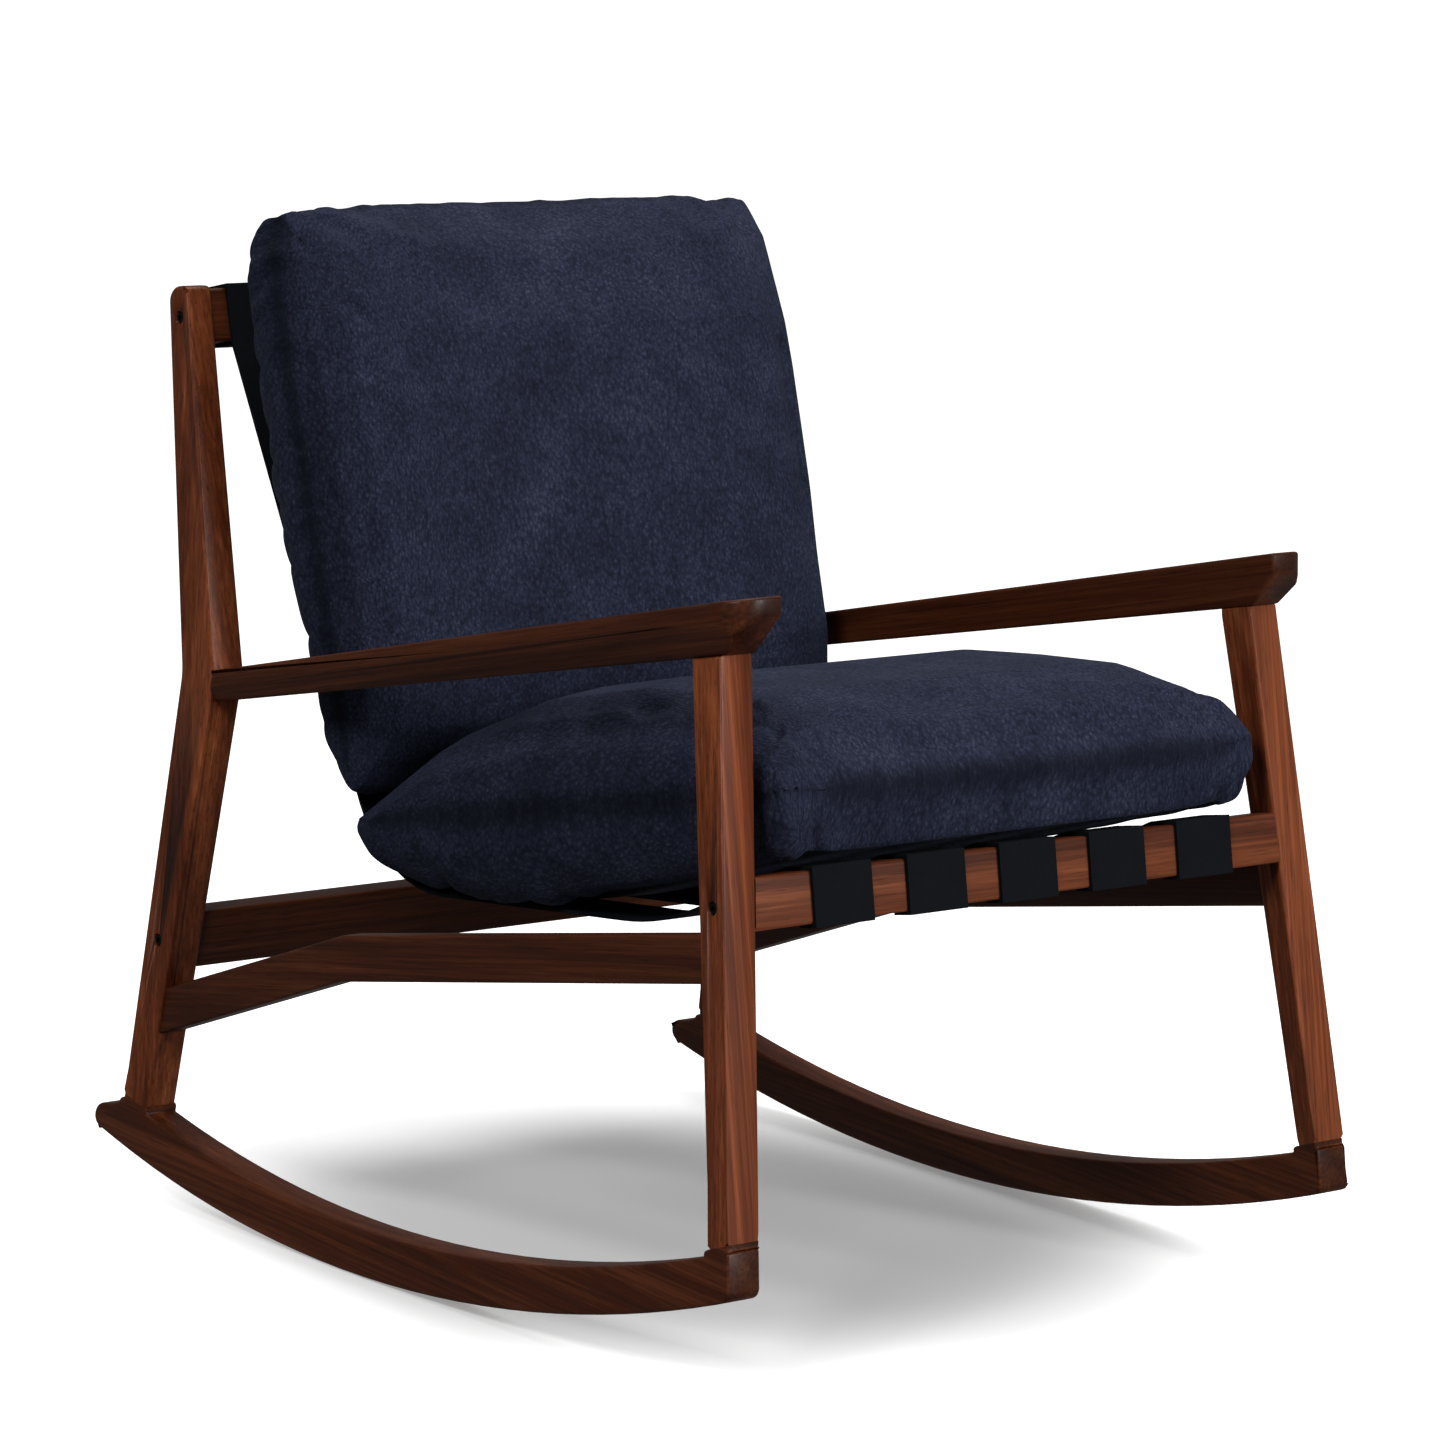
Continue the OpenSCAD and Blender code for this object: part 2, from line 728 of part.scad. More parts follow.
// A button-head bolt through each leg or post into each rail's end.
module bolt_set(gap = 0) {
    at_rail_ends() {
        out = frame_x($end[0].y) - $end[3] - head_sink;
        rotate([0, -90, 0]) translate([0, 0, -out + head_high]) {
            cylinder(d = bolt_d + 2 * gap, h = out - head_high + bolt_reach + gap);
            if (gap > 0) {
                translate([0, 0, -head_high - 8])
                    cylinder(d = bolt_head_d + 2 * gap, h = head_high + 8);
            } else {
                difference() {
                    translate([0, 0, -head_high]) cylinder(d1 = bolt_head_d - 3, d2 = bolt_head_d, h = head_high);
                    translate([0, 0, -head_high - 1]) cylinder(d = socket_d, h = 3, $fn = 6);
                }
            }
        }
    }
}

// Barrel nuts cross each bolt inside the rail. Their holes run out of its rear face.
module nut_set(gap = 0, open = 0) {
    at_rail_ends()
        translate([-nut_reach, -nut_long / 2 - gap, 0])
            rotate([-90, 0, 0])
                cylinder(d = nut_d + 2 * gap, h = nut_long + 2 * gap + open);
}

// Staples hold each strap's two tails under the rails.
staple_wide = 10;
staple_wire = 1.2;
staple_leg = 6;

module staple(at, turn) {
    translate([at[0], at[1], at[2]]) rotate([turn, 0, 0]) {
        translate([-staple_wide / 2, -staple_wire / 2, -0.6])
            cube([staple_wide, staple_wire, 0.6 + 0.01]);
        for (step = [-1, 1])
            translate([step * (staple_wide - staple_wire) / 2 - staple_wire / 2, -staple_wire / 2, 0])
                cube([staple_wire, staple_wire, staple_leg]);
    }
}

function under_rail(section, share, turn) =
    section[0] + (section[3] - section[0]) * share
        + turned([[0, -strap_thick]], turn, [0, 0])[0];

module staple_set() {
    top_at = under_rail(top_section, 0.45, top_rail_turn);
    front_at = under_rail(front_section, 0.4, -leg_rake);
    for (i = [0:strap_count - 1]) for (step = [-1, 0, 1]) {
        staple([strap_x(i) + step * strap_width / 3.4, top_at.x, top_at.y], top_rail_turn);
        staple([strap_x(i) + step * strap_width / 3.4, front_at.x, front_at.y], -leg_rake);
    }
}

module leg_bores() {
    rocker_dowel_set(fit_gap);
    armrest_dowel_set(fit_gap);
    stretcher_dowel_set(fit_gap);
    rail_dowel_set(fit_gap);
    bolt_set(fit_gap);
}

module post_bores() leg_bores();

module armrest_bores() armrest_dowel_set(fit_gap);

// ---- rest pose --------------------------------------------------------------

// The origin is the middle of the chair's box, at floor height.
frontmost = rested(toe_centre).x - edge_round;
rearmost = max(concat(
    [rested([rocker_tail, tail_z]).x + tail_round],
    [for (p = post_points(post_foot_z)) rested(p).x],
    [for (p = band(sling_path, strap_thick)) rested(p).x]
));
centre_shift = -(frontmost + rearmost) / 2;

module rest() {
    translate([0, centre_shift + rocker_centre, rocker_radius])
        rotate([-rest_lean, 0, 0])
            translate([0, -rocker_centre, -rocker_radius])
                children();
}

// ---- nodes ------------------------------------------------------------------

module left_front_leg() color(walnut) rest() on_side(1) front_leg();
module right_front_leg() color(walnut) rest() on_side(-1) front_leg();
module left_rear_post() color(walnut) rest() on_side(1) rear_post();
module right_rear_post() color(walnut) rest() on_side(-1) rear_post();
module left_armrest() color(walnut) rest() on_side(1) armrest();
module right_armrest() color(walnut) rest() on_side(-1) armrest();
module left_rocker() color(walnut) rest() on_side(1) rocker();
module right_rocker() color(walnut) rest() on_side(-1) rocker();
module left_side_stretcher() color(walnut) rest() on_side(1) side_stretcher();
module right_side_stretcher() color(walnut) rest() on_side(-1) side_stretcher();
module front_rail() color(walnut) rest() rail(front_section);
module rear_rail() color(walnut) rest() rail(rear_section);
module top_rail() color(walnut) rest() rail(top_section, head_lean, knee_height);
module strap_node(i) color(webbing) rest() strap(i);
module seat_cushion_cover() color(navy) rest() difference() {
    seat_solid(0);
    seat_solid(cover_thick);
}
module seat_cushion_insert() color("white") rest() seat_solid(cover_thick + soft_gap);
module back_cushion_cover() color(navy) rest() difference() {
    back_solid(0);
    back_solid(cover_thick);
}
module back_cushion_insert() color("white") rest() back_solid(cover_thick + soft_gap);
module rocker_dowels() color("tan") rest() rocker_dowel_set();
module armrest_dowels() color("tan") rest() armrest_dowel_set();
module stretcher_dowels() color("tan") rest() stretcher_dowel_set();
module rail_dowels() color("tan") rest() rail_dowel_set();
module frame_bolts() color(steel) rest() bolt_set();
module barrel_nuts() color(steel) rest() difference() {
    nut_set();
    bolt_set(fit_gap);
}
module strap_staples() color("silver") rest() staple_set();

left_front_leg();
right_front_leg();
left_rear_post();
right_rear_post();
left_armrest();
right_armrest();
left_rocker();
right_rocker();
left_side_stretcher();
right_side_stretcher();
front_rail();
rear_rail();
top_rail();
strap_node(0);  // strap_1
strap_node(1);  // strap_2
strap_node(2);  // strap_3
strap_node(3);  // strap_4
strap_node(4);  // strap_5
seat_cushion_cover();
seat_cushion_insert();
back_cushion_cover();
back_cushion_insert();
rocker_dowels();
armrest_dowels();
stretcher_dowels();
rail_dowels();
frame_bolts();
barrel_nuts();
strap_staples();
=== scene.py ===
# Rocking chair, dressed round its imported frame: eased walnut timbers, a webbing sling and
# two loose cushions in a dark blue chenille cloth.
import json
import math
import bmesh
import bpy
from mathutils import Euler, Matrix, Vector, noise
from mathutils.bvhtree import BVHTree

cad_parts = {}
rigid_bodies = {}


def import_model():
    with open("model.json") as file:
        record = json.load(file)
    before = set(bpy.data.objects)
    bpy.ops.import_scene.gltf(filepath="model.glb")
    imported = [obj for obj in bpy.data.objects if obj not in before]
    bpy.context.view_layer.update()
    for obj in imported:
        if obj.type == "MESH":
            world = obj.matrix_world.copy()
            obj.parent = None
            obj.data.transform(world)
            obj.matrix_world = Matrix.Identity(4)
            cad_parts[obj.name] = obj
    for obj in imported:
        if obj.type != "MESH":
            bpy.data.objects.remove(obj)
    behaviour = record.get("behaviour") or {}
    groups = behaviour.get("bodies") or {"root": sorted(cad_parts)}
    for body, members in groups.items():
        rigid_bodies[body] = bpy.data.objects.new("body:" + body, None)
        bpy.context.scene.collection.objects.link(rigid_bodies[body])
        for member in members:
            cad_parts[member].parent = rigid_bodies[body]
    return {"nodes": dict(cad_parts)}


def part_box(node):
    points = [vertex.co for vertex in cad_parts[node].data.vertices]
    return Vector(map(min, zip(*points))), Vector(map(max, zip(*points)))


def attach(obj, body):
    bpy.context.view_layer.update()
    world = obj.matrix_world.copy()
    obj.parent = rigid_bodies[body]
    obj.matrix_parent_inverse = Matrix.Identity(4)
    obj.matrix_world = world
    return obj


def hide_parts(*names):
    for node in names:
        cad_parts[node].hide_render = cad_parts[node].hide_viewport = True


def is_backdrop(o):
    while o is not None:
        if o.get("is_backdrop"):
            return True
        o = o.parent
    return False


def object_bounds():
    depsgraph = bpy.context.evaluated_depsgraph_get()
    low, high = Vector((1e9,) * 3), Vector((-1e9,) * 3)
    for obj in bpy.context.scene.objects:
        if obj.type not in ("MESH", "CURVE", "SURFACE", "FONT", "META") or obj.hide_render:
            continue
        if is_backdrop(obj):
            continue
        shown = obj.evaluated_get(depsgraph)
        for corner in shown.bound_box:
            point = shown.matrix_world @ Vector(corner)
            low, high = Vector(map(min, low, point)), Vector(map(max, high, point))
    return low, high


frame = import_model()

cad_box = [list(corner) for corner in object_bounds()]
scene = bpy.context.scene


# ---- Room -----------------------------------------------------------------------------
# A pale seamless floor under plain soft light: one broad softbox overhead, one in front
# on the sitter's left, and one on the near side. The camera is a long lens, far away.
camera_data = bpy.data.cameras.new("camera")
camera_data.lens = 161.8
camera_data.sensor_width = 36
camera_data.clip_end = 60       # past the floor's far edge
camera = bpy.data.objects.new("camera", camera_data)
camera.location = (-3.5807, -3.8618, 1.3679)
camera.rotation_euler = [math.radians(angle) for angle in (79.866, -3.288, -42.186)]
scene.collection.objects.link(camera)
scene.camera = camera

# The floor glows a little, and more with distance, so that it runs out to plain white. Its low glow near
# the middle is a painted shadow under the chair, added to the lamps' real one.
bpy.ops.object.select_all(action="DESELECT")
bpy.ops.mesh.primitive_plane_add(size=60, location=(0, 0, -0.0006))
floor = bpy.context.object
floor.name = "floor"
floor.visible_glossy = False
floor.visible_diffuse = False
floor_finish = bpy.data.materials.new("floor_paper")
floor_finish.use_nodes = True
floor_shader = floor_finish.node_tree.nodes["Principled BSDF"]
floor_shader.inputs["Base Color"].default_value = (0.8, 0.8, 0.8, 1)
floor_shader.inputs["Roughness"].default_value = 1
floor_shader.inputs["Specular IOR Level"].default_value = 0
floor_shader.inputs["Emission Strength"].default_value = 1
floor_nodes = floor_finish.node_tree.nodes
from_middle = floor_nodes.new("ShaderNodeVectorMath")
from_middle.operation = "LENGTH"
# Dim within a quarter metre of the middle, a painted shadow under the chair, and plain white further out.
painted_shadow_glow = floor_nodes.new("ShaderNodeMapRange")
painted_shadow_glow.interpolation_type = "SMOOTHSTEP"
for limit, metres_or_glow in (("From Min", 0.24), ("From Max", 0.56), ("To Min", 0.07)):
    painted_shadow_glow.inputs[limit].default_value = metres_or_glow
floor_links = floor_finish.node_tree.links
floor_links.new(floor_nodes.new("ShaderNodeTexCoord").outputs["Object"], from_middle.inputs[0])
floor_links.new(from_middle.outputs["Value"], painted_shadow_glow.inputs["Value"])
floor_links.new(painted_shadow_glow.outputs["Result"], floor_shader.inputs["Emission Color"])
floor.data.materials.append(floor_finish)
floor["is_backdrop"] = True

# The backdrop is white, but throws only a little light on the chair.
world = bpy.data.worlds.new("studio")
world.use_nodes = True
sky = world.node_tree.nodes
backdrop_brightness, fill_brightness = 1.0, 0.15
aim = Vector((0, 0, 0.35))
seen = sky.new("ShaderNodeLightPath").outputs["Is Camera Ray"]
strength = sky.new("ShaderNodeMapRange")
strength.inputs["To Min"].default_value = fill_brightness
strength.inputs["To Max"].default_value = backdrop_brightness
world.node_tree.links.new(seen, strength.inputs["Value"])
world.node_tree.links.new(strength.outputs["Result"], sky["Background"].inputs["Strength"])
sky["Background"].inputs["Color"].default_value = (1, 1, 1, 1)
scene.world = world
scene.view_settings.view_transform = "Standard"

for name, place, size, watts in (
    ("softbox_above", (0.4, 0.3, 3.0), 2.2, 38),
    ("softbox_front", (0.9, -3.4, 1.7), 1.2, 84),
    ("softbox_side", (-3.0, -1.2, 3.0), 1.1, 62),
):
    light_data = bpy.data.lights.new(name, "AREA")
    light_data.size = size
    light_data.energy = watts
    light = bpy.data.objects.new(name, light_data)
    light.location = place
    light.rotation_euler = (aim - Vector(place)).to_track_quat("-Z", "Y").to_euler()
    scene.collection.objects.link(light)


# ---- Timbers --------------------------------------------------------------------------
# Legs, posts, armrests, rockers, stretchers and rails are sawn from straight-grained
# hardwood, stained a dark reddish walnut and sprayed with a thin satin lacquer. Their
# outer edges are eased with a router before they are glued, bolted and dowelled.
easing = 0.0028             # radius of a routed edge
bore_reach = 0.016          # an outline wider than this isn't a bore's
sharp_angle = math.radians(18)
glue_line = 0.0009          # an edge this near to a neighbour is glued tight to it
merging = 0.00002


class Value:
    """A socket whose arithmetic adds Math nodes."""

    def __init__(self, finish, socket):
        self.finish, self.socket = finish, socket

    def math(self, operation, *others):
        return self.finish.node("Math", {"operation": operation}, dict(enumerate(others)))

    def __add__(self, other): return self.math("ADD", self, other)
    def __radd__(self, other): return self.math("ADD", other, self)
    def __sub__(self, other): return self.math("SUBTRACT", self, other)
    def __rsub__(self, other): return self.math("SUBTRACT", other, self)
    def __mul__(self, other): return self.math("MULTIPLY", self, other)
    def __rmul__(self, other): return self.math("MULTIPLY", other, self)
    def sine(self): return self.math("SINE", self)
    def clamped(self): return self.finish.node("Clamp", {}, {"Value": self})
    def above(self, low, high):
        """0 below low, 1 above high, and a smooth step between."""
        return self.finish.node(
            "MapRange", {"interpolation_type": "SMOOTHSTEP"},
            {"Value": self, "From Min": low, "From Max": high})


class Finish:
    """A Principled material. Constants go on its own sockets."""

    def __init__(self, name, **constants):
        self.material = bpy.data.materials.new(name)
        self.material.use_nodes = True
        self.tree = self.material.node_tree
        self.shader = self.tree.nodes["Principled BSDF"]
        for socket, value in constants.items():
            self.shader.inputs[socket.replace("_", " ")].default_value = value

    def node(self, kind, settings, values, output=0):
        made = self.tree.nodes.new("ShaderNode" + kind)
        for key, value in settings.items():
            if key == "stops":
                ramp = made.color_ramp.elements
                while len(ramp) < len(value):
                    ramp.new(1)
                for stop, (place, colour) in zip(ramp, value):
                    stop.position = place
                    stop.color = (*colour, 1)
            else:
                setattr(made, key, value)
        for key, value in values.items():
            self.join(value, made.inputs[key])
        return Value(self, made.outputs[output])

    def join(self, value, socket):
        if isinstance(value, Value):
            self.tree.links.new(value.socket, socket)
        else:
            socket.default_value = value

    def feed(self, **inputs):
        for socket, value in inputs.items():
            self.join(value, self.shader.inputs[socket.replace("_", " ")])

    def place(self, turn=(0, 0, 0), stretch=(1, 1, 1), shift=(0, 0, 0)):
        """Object coordinates, turned back by an angle in degrees, then stretched."""
        here = self.node("TexCoord", {}, {}, "Object")
        straight = self.node("Mapping", {"vector_type": "TEXTURE"}, {
            "Vector": here, "Rotation": [math.radians(angle) for angle in turn], "Location": shift})
        return self.node("Mapping", {}, {"Vector": straight, "Scale": stretch})

    def cloud(self, vector, scale, detail=3, rough=0.55, twist=0.0):
        return self.node("TexNoise", {}, {
            "Vector": vector, "Scale": scale, "Detail": detail, "Roughness": rough, "Distortion": twist})

    def ramp(self, value, *stops):
        return self.node("ValToRGB", {"stops": stops}, {"Fac": value})

    def mix(self, share, first, second):
        return self.node("Mix", {"data_type": "RGBA"}, {0: share, 6: first, 7: second}, 2)

    def bump(self, height, depth, strength=1.0):
        return self.node("Bump", {}, {"Height": height, "Distance": depth, "Strength": strength})


def walnut(name, turn, seed, tone_and_painted_light=1.0):
    """Straight grain along the board: slow figure, fine streaks and short dark pores."""
    finish = Finish(name, Coat_Weight=0.06, Coat_Roughness=0.22, Specular_IOR_Level=0.16)
    shift = (0.37 * seed, 0.21 * seed, 0.13 * seed)
    figure = finish.cloud(finish.place(turn, (1, 1, 0.045), shift), 34, 5, 0.6, 0.7)
    streak = finish.cloud(finish.place(turn, (1, 1, 0.014), shift), 330, 3, 0.6)
    pore = finish.cloud(finish.place(turn, (1, 1, 0.03), shift), 950, 2, 0.5)
    open_pore = pore.above(0.58, 0.72)
    # The stain's stops are scaled by tint, which carries painted light and shade as well as the board's
    # own tone.
    stain = finish.ramp(
        figure * 0.62 + streak * 0.38,
        (0.30, (0.024 * tone_and_painted_light, 0.0050 * tone_and_painted_light, 0.0016 * tone_and_painted_light)),
        (0.47, (0.066 * tone_and_painted_light, 0.0155 * tone_and_painted_light, 0.0050 * tone_and_painted_light)),
        (0.58, (0.120 * tone_and_painted_light, 0.0310 * tone_and_painted_light, 0.0105 * tone_and_painted_light)),
        (0.74, (0.210 * tone_and_painted_light, 0.0640 * tone_and_painted_light, 0.0240 * tone_and_painted_light)))
    pore_dark = (0.012, 0.0045, 0.0025, 1)
    grain_way = Euler([math.radians(angle) for angle in turn]).to_matrix() @ Vector((0, 0, 1))
    facing = finish.node("NewGeometry", {}, {}, "Normal")
    along = finish.node("VectorMath", {"operation": "DOT_PRODUCT"}, {0: facing, 1: grain_way}, "Value")
    end_grain = (along * along).above(0.55, 0.9)
    finish.feed(
        Base_Color=finish.mix((open_pore * 0.6 + end_grain * 0.55).clamped(), stain, pore_dark),
        Roughness=0.34 + streak * 0.12 + open_pore * 0.15,
        Normal=finish.bump(streak * 0.4 - open_pore * 0.6, 0.00012, 0.7))
    return finish.material


def skin_tree(mesh):
    """A tree that finds the nearest place on a mesh."""
    return BVHTree.FromPolygons(
        [vertex.co for vertex in mesh.vertices], [face.vertices[:] for face in mesh.polygons])


timber_names = [f"{side}_{part}" for side in ("left", "right")
                for part in ("front_leg", "rear_post", "armrest", "rocker", "side_stretcher")]
timber_names += ["front_rail", "rear_rail", "top_rail"]
timber_skins = {node: skin_tree(frame["nodes"][node].data) for node in timber_names}


def outline_edges(mesh, node):
    """Sharp edges of the piece's outline, not those of a small bore or of a glued joint."""
    neighbours = [skin for name, skin in timber_skins.items() if name != node]
    left = {e for e in mesh.edges if len(e.link_faces) == 2 and e.calc_face_angle() > sharp_angle}
    found = []
    while left:
        group, reached = [], [left.pop()]
        while reached:
            edge = reached.pop()
            group.append(edge)
            near = {e for v in edge.verts for e in v.link_edges if e in left}
            left -= near
            reached.extend(near)
        points = [v.co for e in group for v in e.verts]
        span = max(max(p[i] for p in points) - min(p[i] for p in points) for i in range(3))
        if span > bore_reach:
            found += group
    return [e for e in found if not any(
        skin.find_nearest((e.verts[0].co + e.verts[1].co) / 2, glue_line)[0] for skin in neighbours)]


def merged_copy(node, name):
    """A closed copy of a node's mesh, with its triangles merged into whole faces."""
    piece = bpy.data.objects.new(name, frame["nodes"][node].data.copy())
    scene.collection.objects.link(piece)
    piece.data.materials.clear()
    bpy.ops.object.select_all(action="DESELECT")
    piece.select_set(True)
    bpy.context.view_layer.objects.active = piece
    bpy.ops.object.mode_set(mode="EDIT")
    bpy.ops.mesh.select_all(action="SELECT")
    bpy.ops.mesh.remove_doubles(threshold=merging)
    bpy.ops.mesh.dissolve_limited(angle_limit=math.radians(0.03))
    return piece


def timber(node, turn, seed, tone_and_painted_light=1.0):
    """One walnut board. Turn is its grain's lean in degrees; tint sets how light its stain is, partly the
    board's own tone and mostly painted light and shade.
    """
    piece = merged_copy(node, node + "_timber")
    bpy.ops.mesh.select_all(action="DESELECT")
    mesh = bmesh.from_edit_mesh(piece.data)
    for edge in outline_edges(mesh, node):
        edge.select_set(True)
    bmesh.update_edit_mesh(piece.data)
    bpy.ops.mesh.bevel(offset=easing, segments=3, profile=0.5, clamp_overlap=False)
    bpy.ops.mesh.select_all(action="SELECT")
    bpy.ops.mesh.remove_doubles(threshold=merging)
    bpy.ops.object.mode_set(mode="OBJECT")
    bpy.ops.object.shade_smooth_by_angle(angle=math.radians(32))
    piece.data.materials.append(walnut(node + "_walnut", turn, seed, tone_and_painted_light))
    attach(piece, "frame")
    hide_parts(node)
    return piece


# The tints differ far more than boards do. They paint light and shade: lighter on the legs, posts and
# front rail, which face the lamps, and darker on the armrests' shaded undercut and the stretchers, which
# sit low in shade. The right side's front leg and stretcher are lighter than the left side's.
for number, side in enumerate(("left", "right")):
    timber(side + "_front_leg", (-11, 0, 0), 1 + number, 2.0 + 0.6 * number)
    timber(side + "_rear_post", (-6, 0, 0), 3 + number, 2.1)
    timber(side + "_armrest", (76, 0, 0), 5 + number, 0.7)
    timber(side + "_rocker", (93, 0, 0), 7 + number, 1.1)
    timber(side + "_side_stretcher", (80, 0, 0), 9 + number, 0.6 + 0.25 * number)
timber("front_rail", (0, 90, 0), 11, 1.35)
timber("rear_rail", (0, 90, 0), 12, 0.8)
timber("top_rail", (0, 90, 0), 13, 0.9)


# ---- Hardware -------------------------------------------------------------------------
# Beech dowels glued in the timbers' joints, black bolts that screw into plated barrel
# nuts, and plated staples that hold the webbing under the rails.
def dress_node(finish, *nodes):
    for node in nodes:
        for slot in frame["nodes"][node].material_slots:
            slot.material = finish


beech = Finish("beech", Specular_IOR_Level=0.3)
fleck = beech.cloud(beech.place(), 700, 3)
beech.feed(
    Base_Color=beech.ramp(fleck, (0.35, (0.42, 0.26, 0.13)), (0.65, (0.58, 0.39, 0.21))),
    Roughness=0.55 + fleck * 0.2,
    Normal=beech.bump(fleck, 0.0001, 0.5))
dress_node(beech.material, "rocker_dowels", "armrest_dowels", "stretcher_dowels", "rail_dowels")

black_oxide = Finish("black_oxide", Metallic=0.85, Specular_IOR_Level=0.5)
grain = black_oxide.cloud(black_oxide.place(), 900, 3)
black_oxide.feed(
    Base_Color=black_oxide.ramp(grain, (0.35, (0.006, 0.006, 0.007)), (0.7, (0.022, 0.022, 0.025))),
    Roughness=0.30 + grain * 0.25,
    Normal=black_oxide.bump(grain, 0.00003, 0.6))
dress_node(black_oxide.material, "frame_bolts")

zinc = Finish("zinc_plate", Metallic=1.0)
grain = zinc.cloud(zinc.place(), 600, 4)
zinc.feed(
    Base_Color=zinc.ramp(grain, (0.3, (0.36, 0.37, 0.38)), (0.7, (0.52, 0.53, 0.52))),
    Roughness=0.28 + grain * 0.22,
    Normal=zinc.bump(grain, 0.00003, 0.6))
dress_node(zinc.material, "barrel_nuts", "strap_staples")


# ---- Sling ----------------------------------------------------------------------------
# Five lengths of close-woven elastic webbing, nearly black. Each is folded over the top
# rail and the front rail and stapled out of sight. They fan out a little to the top.
def webbing():
    """Ribs along the strap, crossed by a fine weft; the colour follows the weave's height, paler on its
    raised crowns and darker in its grooves, as painted light and shade.
    """
    finish = Finish("webbing", Specular_IOR_Level=0.1)
    here = finish.node("TexCoord", {}, {}, "Object")
    across, back, up = (finish.node("SeparateXYZ", {}, {"Vector": here}, axis) for axis in "XYZ")
    along = back * 0.6 + up
    rib = (across * 3900).sine() * 0.5 + 0.5
    weft = (along * 4600).sine() * 0.5 + 0.5
    fleck = finish.cloud(finish.place(), 900, 2)
    dust = finish.cloud(finish.place(), 22, 3)
    height = rib * 0.5 + weft * 0.3 + fleck * 0.4
    # The colour follows the weave's height: paler crowns and darker grooves are painted light and shade,
    # mottled by a slow cloud.
    finish.feed(
        Base_Color=finish.ramp(
            height * 0.7 + dust * 0.3,
            (0.25, (0.0018, 0.0024, 0.0034)),
            (0.60, (0.0038, 0.0050, 0.0070)),
            (0.85, (0.0080, 0.0095, 0.0125))),
        Roughness=0.82 + fleck * 0.1,
        Normal=finish.bump(height, 0.00025, 0.6))
    return finish.material


webbing_finish = webbing()
fan = 0.019                 # what each strap but the middle one moves out by, at full slope
strap_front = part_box("strap_3")[0].y
for number in range(1, 6):
    strap = merged_copy(f"strap_{number}", f"strap_{number}_webbing")
    mesh = bmesh.from_edit_mesh(strap.data)
    for vertex in mesh.verts:
        vertex.co.x += fan * (number - 3) * (vertex.co.y - strap_front) / 2
    bmesh.update_edit_mesh(strap.data)
    bpy.ops.object.mode_set(mode="OBJECT")
    bpy.ops.object.shade_smooth_by_angle(angle=math.radians(40))
    strap.data.materials.append(webbing_finish)
    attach(strap, "frame")
    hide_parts(f"strap_{number}")


# ---- Cushions -------------------------------------------------------------------------
# Two loose cushions. Each is two panels of chenille sewn together face to face, turned
# out to a knife edge, closed at the corners with a few gathers, and stuffed full.
def chenille(name):
    """Fat tufted yarn in close diagonal rows, two blues and a few pale ends; the tufts' tops are coloured
    paler and the gaps between them darker, as painted light and shade.
    """
    finish = Finish(name, Specular_IOR_Level=0.08, Sheen_Weight=0.04, Sheen_Roughness=0.45,
                    Sheen_Tint=(0.55, 0.62, 0.85, 1))
    sewn = finish.node("UVMap", {"uv_map": "cut"}, {})
    rows = finish.node("Mapping", {}, {
        "Vector": sewn, "Rotation": (0, 0, math.radians(38)), "Scale": (1, 0.62, 1)})
    tuft = finish.node("TexVoronoi", {"feature": "F1"}, {"Vector": rows, "Scale": 215, "Randomness": 0.8})
    fuzz = finish.cloud(finish.place(), 1300, 2, 0.6)
    fleck = finish.cloud(finish.place(), 420, 2, 0.6)
    nap = finish.cloud(finish.place(), 14, 4, 0.6)
    rim = finish.node("Attribute", {"attribute_name": "rim"}, {}, "Fac")
    height = 1 - tuft * 0.9 + fuzz * 0.35 + fleck * 0.3
    # The tuft term makes the tufts' tops paler and the gaps between them darker, a painted light and
    # shade; fleck and nap are the yarn's own tone.
    shade = fleck * 0.45 + (1 - tuft) * 0.3 + nap * 0.35
    cloth = finish.ramp(
        shade,
        (0.33, (0.0068, 0.0080, 0.0155)), (0.5, (0.0140, 0.0168, 0.0335)),
        (0.62, (0.0235, 0.0280, 0.0530)), (0.76, (0.0470, 0.0530, 0.0880)))
    # A thin near-black line along the seam, from the rim attribute, is painted shade in the seam's
    # crease.
    finish.feed(
        Base_Color=finish.mix(rim.above(0.965, 1.0) * 0.6, cloth, (0.004, 0.005, 0.009, 1)),
        Roughness=0.86 + fleck * 0.12,
        Normal=finish.bump(height, 0.0009, 0.75))
    return finish.material


def outer_skin(node):
    """A tree of the outside of a hollow node."""
    skin = merged_copy(node, node + "_skin")
    bpy.ops.mesh.select_all(action="DESELECT")
    mesh = bmesh.from_edit_mesh(skin.data)
    max(mesh.verts, key=lambda vertex: vertex.co.x).select_set(True)
    bmesh.update_edit_mesh(skin.data)
    bpy.ops.mesh.select_linked()
    bpy.ops.mesh.select_all(action="INVERT")
    bpy.ops.mesh.delete(type="VERT")
    bpy.ops.object.mode_set(mode="OBJECT")
    tree = skin_tree(skin.data)
    bpy.data.objects.remove(skin)
    return tree


at_seam = 0.9999            # a panel's rim is 0 at its middle and 1 on the seam
swelling_room = 0.008       # the stuffing fills this, so the panels start that much inside


